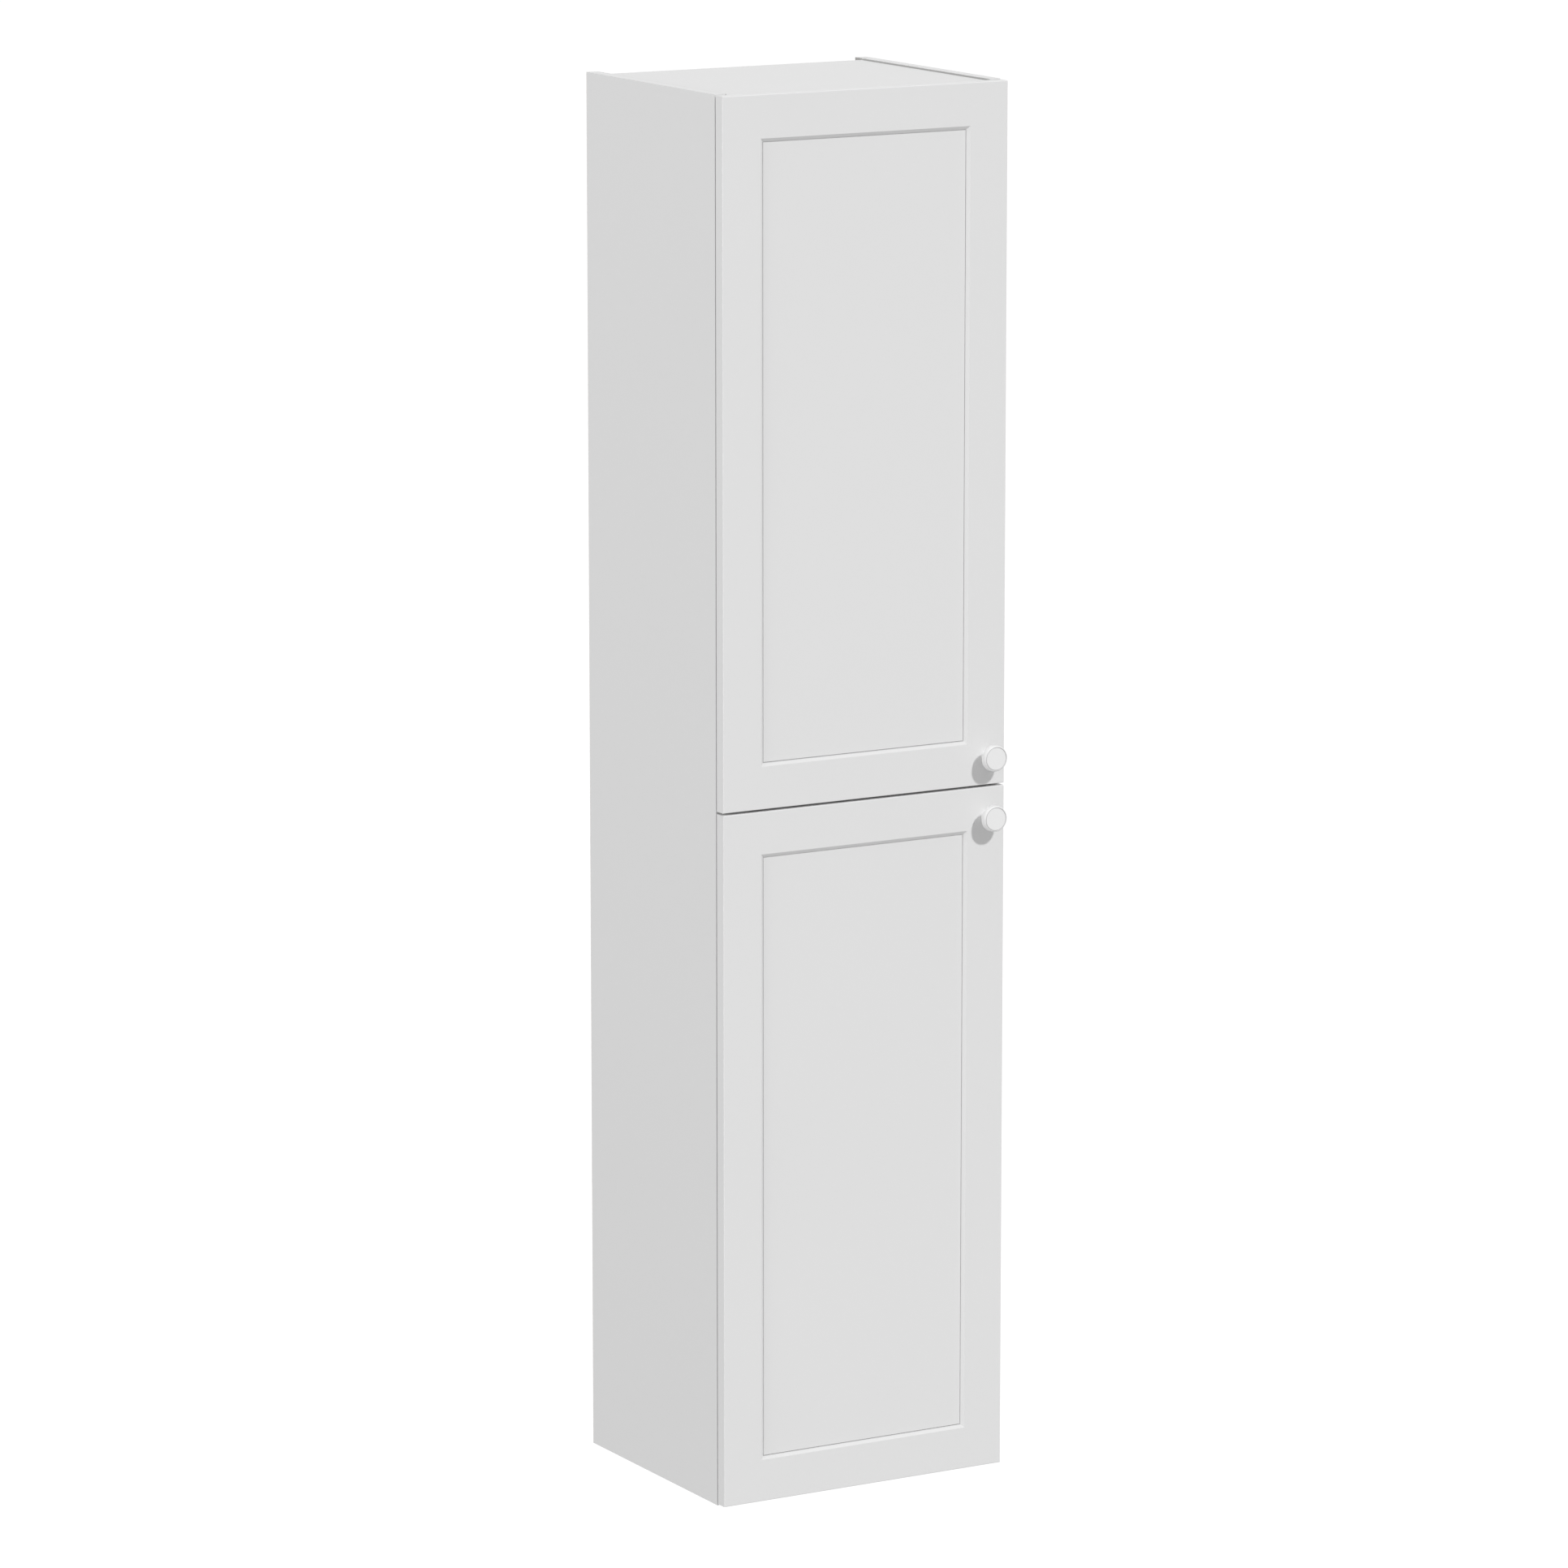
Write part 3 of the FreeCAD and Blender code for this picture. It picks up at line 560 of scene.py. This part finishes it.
def layer(tree, axis, start, end):
    """Mask of a layer between two places on an axis, in millimetres."""
    return shader_group(tree, LAYER_MASK, Place=axis, From=start * MM, To=end * MM)["Mask"]


def blank_material(name):
    """Material with one Principled shader; returns it, its tree, the shader and the Object coordinates."""
    material = bpy.data.materials.new(name)
    material.use_nodes = True
    tree = material.node_tree
    shader = tree.nodes["Principled BSDF"]
    place = tree.nodes.new("ShaderNodeTexCoord").outputs["Object"]
    return material, tree, shader, place


def toned(tree, colour, tone):
    """Colour multiplied by a tone that changes over the surface."""
    grey = node(tree, "ShaderNodeCombineColor", Red=tone, Green=tone, Blue=tone).outputs[0]
    mixed = node(tree, "ShaderNodeMix", {"data_type": "RGBA", "blend_type": "MULTIPLY"})
    mixed.inputs["Factor"].default_value = 1.0
    mixed.inputs["A"].default_value = (*colour, 1)
    tree.links.new(grey, mixed.inputs["B"])
    return mixed.outputs["Result"]


def blended(tree, mask, first, second):
    """Colour that runs from the first to the second with the mask."""
    mixed = node(tree, "ShaderNodeMix", {"data_type": "RGBA"})
    tree.links.new(mask, mixed.inputs["Factor"])
    for socket, value in (("A", first), ("B", second)):
        fill(tree, mixed.inputs[socket], (*value, 1) if isinstance(value, tuple) else value)
    return mixed.outputs["Result"]


def set_bump(tree, shader, height, strength, depth):
    """Bump from a height, feeding the shader's normal; depth is in millimetres."""
    bump = node(tree, "ShaderNodeBump", Strength=strength, Distance=depth * MM, Height=height)
    tree.links.new(bump.outputs[0], shader.inputs["Normal"])


def painted(name, colour, roughness, peel_scale, grain_scale, peel, bump_depth, painted_shade=None):
    """Sprayed or foil finish with orange peel; the optional last argument adds to the tree a value of
    painted shade that takes tone off the colour and gloss off the finish."""
    gloss_lost, bump_strength = 0.5, 0.35
    material, tree, shader, place = blank_material(name)
    skin = shader_group(
        tree, PAINT_SKIN, Place=place, Peel_Scale=peel_scale, Grain_Scale=grain_scale, Peel=peel)
    tone = skin["Tone"]
    glossiest = roughness - PAINT_SPREAD / 2
    rough = math_node(tree, "MULTIPLY_ADD", skin["Sheen Mask"], PAINT_SPREAD, glossiest)
    if painted_shade is not None:
        grey = painted_shade(tree, place)
        tone = math_node(tree, "MULTIPLY", tone, math_node(tree, "SUBTRACT", 1.0, grey))
        rough = math_node(tree, "MULTIPLY_ADD", grey, gloss_lost, rough)
    tree.links.new(toned(tree, colour, tone), shader.inputs["Base Color"])
    tree.links.new(rough, shader.inputs["Roughness"])
    set_bump(tree, shader, skin["Height"], bump_strength, bump_depth)
    return material


def recess_painted_shade(tree, place):
    """Painted shade in a door's recess: grey in the crease at the foot of its sides, deeper where they face
    up, and a lighter grey over the sides that face up.
    """
    # amounts of painted shade: in the crease where it faces up, on the sides that face up, and in the crease
    # all round
    crease_shade_facing_up, sides_shade_facing_up, crease = 0.22, 0.13, 0.06
    masks = shader_group(tree, RECESS_SIDES, Place=place, **in_metres(DOOR_RECESS))
    normal = tree.nodes.new("ShaderNodeNewGeometry").outputs["Normal"]
    facing_up = math_node(tree, "MAXIMUM", axes_of(tree, normal)[2], 0.0)
    on_sides = math_node(tree, "MULTIPLY", masks["Sides"], sides_shade_facing_up)
    darkening = math_node(tree, "MULTIPLY_ADD", masks["Crease"], crease_shade_facing_up, on_sides)
    in_crease = math_node(tree, "MULTIPLY", masks["Crease"], crease)
    return math_node(tree, "MULTIPLY_ADD", facing_up, darkening, in_crease)


def knob_painted_shade(tree, place):
    """Painted shade on a knob: a grey line in its turned ring where the groove's shade falls, and a slightly
    darker rim that tones down its lit edge.
    """
    # amounts of painted shade in the ring and on the rim
    in_ring, on_rim = 0.4, 0.07
    masks = shader_group(tree, KNOB_FACE_MASKS, Place=place, **in_metres(KNOB_MASKS))
    rim = math_node(tree, "MULTIPLY", masks["Rim"], on_rim)
    return math_node(tree, "MULTIPLY_ADD", masks["Ring"], in_ring, rim)


def faced_board(name, colour, raw_axis=None, raw_from=0.0, raw_to=0.0, band_seam=None):
    """Melamine-faced board: pearl grain, a dark line in the corners on top of the cabinet, a fine glue line
    behind its edge band, and raw chips where it is cut.

    raw_axis is 0, 1 or 2; the raw face lies between raw_from and raw_to on that axis, in millimetres.
    band_seam is the place on the Y axis of the glue line.
    """
    glossiest, raw_roughness, chip_relief = 0.38, 0.85, 4.0
    dark_cover, glue_cover = 0.75, 0.35
    material, tree, shader, place = blank_material(name)
    axes = axes_of(tree, place)
    skin = shader_group(
        tree, PAINT_SKIN, Place=place, Peel_Scale=700.0, Grain_Scale=2600.0, Peel=0.45, Drift=0.015)
    shade = toned(tree, colour, skin["Tone"])
    rough = math_node(tree, "MULTIPLY_ADD", skin["Sheen Mask"], BOARD_SPREAD, glossiest)
    height = skin["Height"]
    darkening = shader_group(tree, CORNER_DARK_LINE, Place=place, **in_metres(TOP_CORNERS))["Mask"]
    shade = blended(tree, math_node(tree, "MULTIPLY", darkening, dark_cover), shade, CORNER_DARK)
    if band_seam is not None:
        seam = layer(tree, axes[1], band_seam - GLUE_HALF, band_seam + GLUE_HALF)
        shade = blended(tree, math_node(tree, "MULTIPLY", seam, glue_cover), shade, GLUE)
    if raw_axis is not None:
        raw = layer(tree, axes[raw_axis], raw_from, raw_to)
        chips = shader_group(tree, WOOD_CHIPS, Place=place)
        shade = blended(tree, raw, shade, chips["Color"])
        rough = math_node(tree, "MAXIMUM", rough, math_node(tree, "MULTIPLY", raw, raw_roughness))
        raw_height = math_node(tree, "MULTIPLY", chips["Height"], raw)
        height = math_node(tree, "MULTIPLY_ADD", raw_height, chip_relief, height)
    tree.links.new(shade, shader.inputs["Base Color"])
    tree.links.new(rough, shader.inputs["Roughness"])
    set_bump(tree, shader, height, strength=0.25, depth=0.05)
    return material


def hardboard(name, front_colour, rear_from):
    """Thin fibre board, faced white in front and brown and finely fibrous behind."""
    glossiest, rear_dulls, fibre_relief = 0.42, 0.3, 2.0
    material, tree, shader, place = blank_material(name)
    axes = axes_of(tree, place)
    skin = shader_group(
        tree, PAINT_SKIN, Place=place, Peel_Scale=500.0, Grain_Scale=2200.0, Peel=0.4, Drift=0.02)
    rear = layer(tree, axes[1], rear_from, 0.0)
    fibres = noise(tree, place, scale=260.0, detail=6.0, roughness=0.75)
    brown = two_tone(tree, fibres, DARK_FIBRE, LIGHT_FIBRE, start=0.3, end=0.7)
    white = toned(tree, front_colour, skin["Tone"])
    tree.links.new(blended(tree, rear, white, brown), shader.inputs["Base Color"])
    ground = math_node(tree, "MULTIPLY_ADD", rear, rear_dulls, glossiest)
    rough = math_node(tree, "MULTIPLY_ADD", skin["Sheen Mask"], BOARD_SPREAD, ground)
    tree.links.new(rough, shader.inputs["Roughness"])
    rear_height = math_node(tree, "MULTIPLY", fibres, rear)
    height = math_node(tree, "MULTIPLY_ADD", rear_height, fibre_relief, skin["Height"])
    set_bump(tree, shader, height, strength=0.3, depth=0.06)
    return material


def plated(name, colour, roughness, line_scale):
    """Plated steel with fine drawing lines."""
    material, tree, shader, place = blank_material(name)
    plating = shader_group(tree, PLATING, Place=place, Line_Scale=line_scale)
    tree.links.new(toned(tree, colour, plating["Tone"]), shader.inputs["Base Color"])
    shader.inputs["Metallic"].default_value = 1.0
    tree.links.new(math_node(tree, "ADD", plating["Dull"], roughness), shader.inputs["Roughness"])
    set_bump(tree, shader, plating["Height"], strength=0.25, depth=0.02)
    return material


def clear_soft(name):
    """Soft clear bumper plastic, a little cloudy."""
    lowest_tone, tone_spread = 0.94, 0.08
    glossiest, roughness_spread = 0.2, 0.1
    material, tree, shader, place = blank_material(name)
    cloud = noise(tree, place, scale=900.0, detail=2.0)
    tone = math_node(tree, "MULTIPLY_ADD", cloud, tone_spread, lowest_tone)
    tree.links.new(toned(tree, CLEAR, tone), shader.inputs["Base Color"])
    rough = math_node(tree, "MULTIPLY_ADD", cloud, roughness_spread, glossiest)
    tree.links.new(rough, shader.inputs["Roughness"])
    shader.inputs["Transmission Weight"].default_value = 0.7
    shader.inputs["IOR"].default_value = 1.45
    set_bump(tree, shader, cloud, strength=0.1, depth=0.02)
    return material


seam_place = carcass_front + BAND
MATERIALS = {
    "door": painted(
        "door_satin_white", WHITE, roughness=0.40, peel_scale=330.0, grain_scale=2400.0, peel=0.75,
        bump_depth=0.03, painted_shade=recess_painted_shade),
    "knob": painted(
        "knob_enamel_white", ENAMEL, roughness=0.42, peel_scale=500.0, grain_scale=2600.0, peel=0.8,
        bump_depth=0.02, painted_shade=knob_painted_shade),
    "cover": painted(
        "cover_plastic_white", COVER_WHITE, roughness=0.48, peel_scale=1500.0, grain_scale=3000.0, peel=0.3,
        bump_depth=0.03),
    "side": faced_board(
        "side_board_white", WHITE, raw_axis=1, raw_from=-RAW_DEPTH, raw_to=PAST_THE_WALL,
        band_seam=seam_place),
    "board": faced_board("board_white", WHITE, band_seam=seam_place),
    "rail": faced_board(
        "rail_board_white", WHITE, raw_axis=2, raw_from=rail_top - RAW_DEPTH, raw_to=PAST_THE_TOP),
    "back": hardboard("back_hardboard", WHITE, rear_from=back_rear - REAR_DEPTH),
    "nickel": plated("nickel_plated_steel", NICKEL, roughness=0.20, line_scale=900.0),
    "zinc": plated("zinc_plated_steel", ZINC, roughness=0.27, line_scale=700.0),
    "bumper": clear_soft("bumper_clear"),
}

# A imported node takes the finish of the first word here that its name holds, or else that of a plain board
NODE_FINISHES = {
    "hinge": "nickel",
    "knob_screw": "nickel",
    "shelf_pins": "nickel",
    "knob": "knob",
    "pads": "bumper",
    "door_panel": "door",
    "side_panel": "side",
    "rear_rail": "rail",
    "back_panel": "back",
    "hanger_cover": "cover",
    "hanger": "zinc",
    "wall_plate": "zinc",
}

for name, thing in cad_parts.items():
    finish = next((finish for word, finish in NODE_FINISHES.items() if word in name), "board")
    thing.data.materials.clear()
    thing.data.materials.append(MATERIALS[finish])

# ---------------------------------------------------------------- knobs, their screws and the bumpers

neck_foot = NECK_RADIUS - NECK_FOOT_ROUND
throat_height = HEAD_BACK - THROAT_ROUND
back_edge = HEAD_RADIUS - HEAD_BACK_ROUND
rim_height = KNOB_FACE - RIM_DROP
KNOB_PROFILE = profile(
    (0.0, 0.0), (neck_foot, 0.0), arc(neck_foot, NECK_FOOT_ROUND, NECK_FOOT_ROUND, 270, 360, 3),
    (NECK_RADIUS, throat_height), arc(NECK_RADIUS + THROAT_ROUND, throat_height, THROAT_ROUND, 180, 90, 6),
    (back_edge, HEAD_BACK), arc(back_edge, HEAD_BACK + HEAD_BACK_ROUND, HEAD_BACK_ROUND, 270, 360, 6),
    (HEAD_RADIUS, rim_height), oval(HEAD_RADIUS - RIM_RUN, rim_height, RIM_RUN, RIM_DROP, 0, 90, 14),
    (KNOB_RING + RING_EDGE, KNOB_FACE), oval(KNOB_RING, KNOB_FACE, RING_HALF, RING_DEPTH, 360, 180, 10),
    (KNOB_RING - RING_EDGE, KNOB_FACE), (KNOB_RING - 2 * RING_EDGE, KNOB_FACE), (0.0, KNOB_FACE))

BUMPER_PROFILE = profile(
    (0.0, 0.0), (BUMPER_RADIUS, 0.0),
    arc(BUMPER_RADIUS - BUMPER_ROUND, BUMPER_ROUND, BUMPER_ROUND, 0, 60, 3),
    oval(0.0, DOME_FOOT, DOME_RADIUS, DOME_RISE, 15, 90, 8))

for door in DOORS:
    body = door + "_door"
    stem = door + "_door_"
    knob_x, _, knob_z = centre(stem + "knob")
    knob = stood(turned(KNOB_PROFILE), (knob_x, door_front, knob_z), (0, -1, 0))
    piece(stem + "turned_knob", [knob], body, MATERIALS["knob"], [stem + "knob"])
    screw = screws(KNOB_SCREW, [(knob_x, door_back, knob_z)], (0, 1, 0))
    piece(stem + "machine_screw", screw, body, MATERIALS["nickel"], [stem + "knob_screw"])
    low, high = low_corner(stem + "pads"), high_corner(stem + "pads")
    bumper_x = (low[0] + high[0]) / 2
    ends = [(bumper_x, door_back, z) for z in (low[2] + BUMPER_RADIUS, high[2] - BUMPER_RADIUS)]
    bumpers = [stood(turned(BUMPER_PROFILE, 48), place, (0, 1, 0)) for place in ends]
    piece(stem + "bumpers", bumpers, body, MATERIALS["bumper"], [stem + "pads"])

# ---------------------------------------------------------------- screws of hinges and hangers, and covers

plate_face = -side_inner + PLATE_FACE_IN
arm_face = -side_inner + ARM_FACE_IN
cup_face = door_back + CUP_FACE_BACK
cup_screw_x = -side_inner + CUP_SCREW_IN

for door in DOORS:
    for hinge in HINGES:
        stem = door + "_door_" + hinge + "_hinge_"
        z = centre(stem + "cup")[2]
        plate_places = [(plate_face, carcass_front + PLATE_SCREW_BACK, z + step)
                        for step in (-PLATE_SCREW_STEP, PLATE_SCREW_STEP)]
        plate_screws = screws(PLATE_SCREW, plate_places, (1, 0, 0))
        piece(stem + "plate_screws", plate_screws, "carcass", MATERIALS["nickel"])
        front_place = (arm_face, carcass_front + FRONT_ARM_SCREW_BACK, z)
        rear_place = (arm_face, carcass_front + REAR_ARM_SCREW_BACK, z)
        arm_screws = (screws(FRONT_ARM_SCREW, [front_place], (1, 0, 0))
                      + screws(REAR_ARM_SCREW, [rear_place], (1, 0, 0)))
        piece(stem + "arm_screws", arm_screws, "carcass", MATERIALS["nickel"])
        cup_places = [(cup_screw_x, cup_face, z + step) for step in (-CUP_SCREW_STEP, CUP_SCREW_STEP)]
        cup_screws = screws(CUP_SCREW, cup_places, (0, 1, 0))
        piece(stem + "cup_screws", cup_screws, door + "_door", MATERIALS["nickel"])

for word, side in (("left", -1), ("right", 1)):
    hanger_face = side * (side_inner - HANGER_FACE_IN)
    hanger_places = [(hanger_face, HANGER_SCREW_Y, z) for z in HANGER_SCREW_HEIGHTS]
    hanger_screws = screws(HANGER_SCREW, hanger_places, (-side, 0, 0))
    piece("hanger_screws_" + word, hanger_screws, "carcass", MATERIALS["zinc"])
    plain_cover = "hanger_cover_" + word
    cover_x, _, cover_z = centre(plain_cover)
    cap = stood(cushioned_plate(*COVER), (cover_x, back_front, cover_z), (0, -1, 0))
    piece("soft_cover_" + word, [cap], "carcass", MATERIALS["cover"], [plain_cover])

# ---------------------------------------------------------------- floor, light and camera, in metres

FLOOR_GREY = (0.53, 0.53, 0.53, 1)
FLOOR_GLOW = 0.6  # only the camera sees it
FLOOR_DROP = 0.9  # from the foot of the carcass down to the floor


def floor_material():
    """Pale floor that reads white to the camera where it is lit and keeps the shadow; the camera doesn't see
    it from below."""
    material = bpy.data.materials.new("studio_floor")
    material.use_nodes = True
    tree = material.node_tree
    tree.nodes.clear()
    matt = node(tree, "ShaderNodeBsdfDiffuse", Color=FLOOR_GREY).outputs[0]
    seen = tree.nodes.new("ShaderNodeLightPath").outputs["Is Camera Ray"]
    strength = math_node(tree, "MULTIPLY", seen, FLOOR_GLOW)
    glow = node(tree, "ShaderNodeEmission", Strength=strength).outputs[0]
    lit = tree.nodes.new("ShaderNodeAddShader")
    tree.links.new(matt, lit.inputs[0])
    tree.links.new(glow, lit.inputs[1])
    backfacing = tree.nodes.new("ShaderNodeNewGeometry").outputs["Backfacing"]
    from_below = math_node(tree, "MULTIPLY", backfacing, seen)
    both = tree.nodes.new("ShaderNodeMixShader")
    tree.links.new(from_below, both.inputs[0])
    tree.links.new(lit.outputs[0], both.inputs[1])
    tree.links.new(tree.nodes.new("ShaderNodeBsdfTransparent").outputs[0], both.inputs[2])
    tree.links.new(both.outputs[0], tree.nodes.new("ShaderNodeOutputMaterial").inputs["Surface"])
    return material


def studio_floor(half, height):
    """Square floor under the cabinet, which hangs above it."""
    mesh = bpy.data.meshes.new("studio_floor")
    corners = [(-half, -half, height), (half, -half, height), (half, half, height), (-half, half, height)]
    mesh.from_pydata(corners, [], [(0, 1, 2, 3)])
    mesh.materials.append(floor_material())
    floor = bpy.data.objects.new("studio_floor", mesh)
    bpy.context.scene.collection.objects.link(floor)


def studio_world(strength):
    """Even white surround: at full strength to the camera, in reflections and through clear plastic, and
    lower as light."""
    world = bpy.data.worlds.new("studio")
    world.use_nodes = True
    tree = world.node_tree
    path = tree.nodes.new("ShaderNodeLightPath")
    seen = math_node(tree, "MAXIMUM", path.outputs["Is Camera Ray"], path.outputs["Is Glossy Ray"])
    seen = math_node(tree, "MAXIMUM", seen, path.outputs["Is Transmission Ray"])
    level = math_node(tree, "MULTIPLY_ADD", seen, 1.0 - strength, strength)
    background = tree.nodes["Background"]
    background.inputs["Color"].default_value = (1, 1, 1, 1)
    tree.links.new(level, background.inputs["Strength"])
    bpy.context.scene.world = world


def sun(name, travel, strength, spread):
    """Distant lamp whose light travels along a direction; spread is its width in degrees."""
    lamp = bpy.data.lights.new(name, "SUN")
    lamp.energy = strength
    lamp.angle = math.radians(spread)
    lit = bpy.data.objects.new(name, lamp)
    turn = np.array(travel, float) / np.linalg.norm(travel)
    lit.rotation_euler = (math.acos(-turn[2]), 0, math.atan2(-turn[0], turn[1]))
    bpy.context.scene.collection.objects.link(lit)


def softbox(name, place, aim, power, side):
    """Square lamp at a place, facing a point; power is in watts and side in metres. It isn't mirrored in the
    object, so that a flat top seen at a low angle keeps its tone."""
    lamp = bpy.data.lights.new(name, "AREA")
    lamp.energy, lamp.size = power, side
    lit = bpy.data.objects.new(name, lamp)
    lit.location = place
    lit.visible_glossy = False
    lit.rotation_euler = (Vector(aim) - Vector(place)).to_track_quat("-Z", "Y").to_euler()
    bpy.context.scene.collection.objects.link(lit)


def photo_camera(place, yaw, pitch, lens):
    """Camera at the photograph's viewing angle; yaw turns it from +Y towards +X and pitch up from level, in
    degrees, and the lens is in millimetres on a sensor 36 mm wide."""
    data = bpy.data.cameras.new("camera")
    data.lens = lens
    data.sensor_width = 36.0
    data.clip_end = 200.0
    camera = bpy.data.objects.new("camera", data)
    camera.location = place
    camera.rotation_euler = (math.radians(90.0 + pitch), 0, math.radians(-yaw))
    bpy.context.scene.collection.objects.link(camera)
    bpy.context.scene.camera = camera


# The camera was solved from the edges of the cabinet in the photograph
studio_floor(half=30.0, height=carcass_foot * MM - FLOOR_DROP)
studio_world(strength=0.47)
sun("key_light", travel=(-0.134, 0.75, -0.63), strength=1.66, spread=4.0)
softbox("left_softbox", place=(-11.5, -1.7, 2.5), aim=(0.0, -0.17, -0.8), power=508.0, side=6.0)
photo_camera(place=(-4.5529, -8.0510, 0.9582), yaw=29.922, pitch=-11.019, lens=170.6)
bpy.context.scene.view_settings.view_transform = "Standard"
